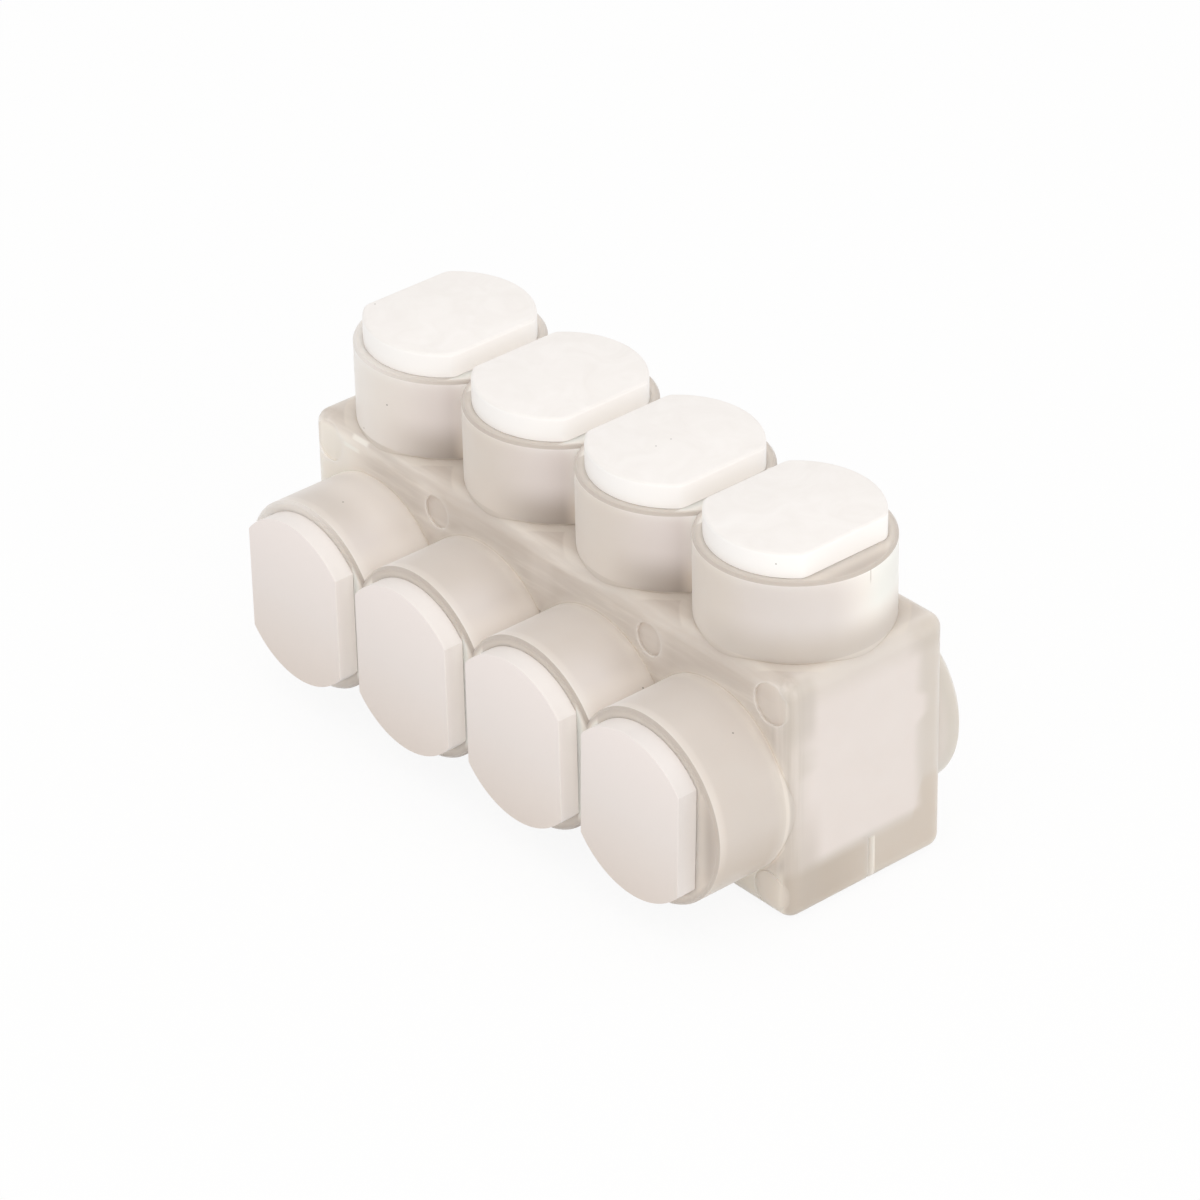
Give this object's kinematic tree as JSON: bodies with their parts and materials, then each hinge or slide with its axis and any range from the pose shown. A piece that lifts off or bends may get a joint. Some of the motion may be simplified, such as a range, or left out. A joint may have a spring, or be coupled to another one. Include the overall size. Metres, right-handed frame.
{
  "type": "insulated multi-tap connector",
  "caption": "Insulated multi-tap connector: a bored aluminium block with set screws in a moulded translucent vinyl cover, with pull-out plugs on its wire tubes and screw towers.",
  "frame": {"origin": "middle of the cover's flat base", "axes": "+X along the row of ports, wires enter from -Y, screws are driven from +Z"},
  "size_m": [0.1008, 0.0481, 0.0534],
  "materials": {
    "cover_vinyl": "satin soft vinyl, hazy and translucent",
    "cap_vinyl": "satin soft vinyl, milky white",
    "block_aluminium": "extruded and tin plated, satin",
    "screw_aluminium": "turned and tin plated"
  },
  "bodies": {
    "connector": {"insulating_cover": "cover_vinyl", "conductor_block": "block_aluminium"},
    "set_screw_1": {"set_screw_1": "screw_aluminium"},
    "set_screw_2": {"set_screw_2": "screw_aluminium"},
    "set_screw_3": {"set_screw_3": "screw_aluminium"},
    "set_screw_4": {"set_screw_4": "screw_aluminium"},
    "screw_cap_1": {"screw_cap_1": "cap_vinyl"},
    "screw_cap_2": {"screw_cap_2": "cap_vinyl"},
    "screw_cap_3": {"screw_cap_3": "cap_vinyl"},
    "screw_cap_4": {"screw_cap_4": "cap_vinyl"},
    "port_cap_1": {"port_cap_1": "cap_vinyl"},
    "port_cap_2": {"port_cap_2": "cap_vinyl"},
    "port_cap_3": {"port_cap_3": "cap_vinyl"},
    "port_cap_4": {"port_cap_4": "cap_vinyl"}
  },
  "joints": [
    {"name": "set_screw_1_drive", "type": "slide", "parent": "connector", "child": "set_screw_1", "axis": [0, 0, 1], "range_m": [-0.0106, 0]},
    {"name": "set_screw_2_drive", "type": "slide", "parent": "connector", "child": "set_screw_2", "axis": [0, 0, 1], "range_m": [-0.0106, 0]},
    {"name": "set_screw_3_drive", "type": "slide", "parent": "connector", "child": "set_screw_3", "axis": [0, 0, 1], "range_m": [-0.0106, 0]},
    {"name": "set_screw_4_drive", "type": "slide", "parent": "connector", "child": "set_screw_4", "axis": [0, 0, 1], "range_m": [-0.0106, 0]},
    {"name": "screw_cap_1_pull", "type": "slide", "parent": "connector", "child": "screw_cap_1", "axis": [0, 0, 1], "range_m": [0, 0.03]},
    {"name": "screw_cap_2_pull", "type": "slide", "parent": "connector", "child": "screw_cap_2", "axis": [0, 0, 1], "range_m": [0, 0.03]},
    {"name": "screw_cap_3_pull", "type": "slide", "parent": "connector", "child": "screw_cap_3", "axis": [0, 0, 1], "range_m": [0, 0.03]},
    {"name": "screw_cap_4_pull", "type": "slide", "parent": "connector", "child": "screw_cap_4", "axis": [0, 0, 1], "range_m": [0, 0.03]},
    {"name": "port_cap_1_pull", "type": "slide", "parent": "connector", "child": "port_cap_1", "axis": [0, -1, 0], "range_m": [0, 0.04]},
    {"name": "port_cap_2_pull", "type": "slide", "parent": "connector", "child": "port_cap_2", "axis": [0, -1, 0], "range_m": [0, 0.04]},
    {"name": "port_cap_3_pull", "type": "slide", "parent": "connector", "child": "port_cap_3", "axis": [0, -1, 0], "range_m": [0, 0.04]},
    {"name": "port_cap_4_pull", "type": "slide", "parent": "connector", "child": "port_cap_4", "axis": [0, -1, 0], "range_m": [0, 0.04]}
  ]
}
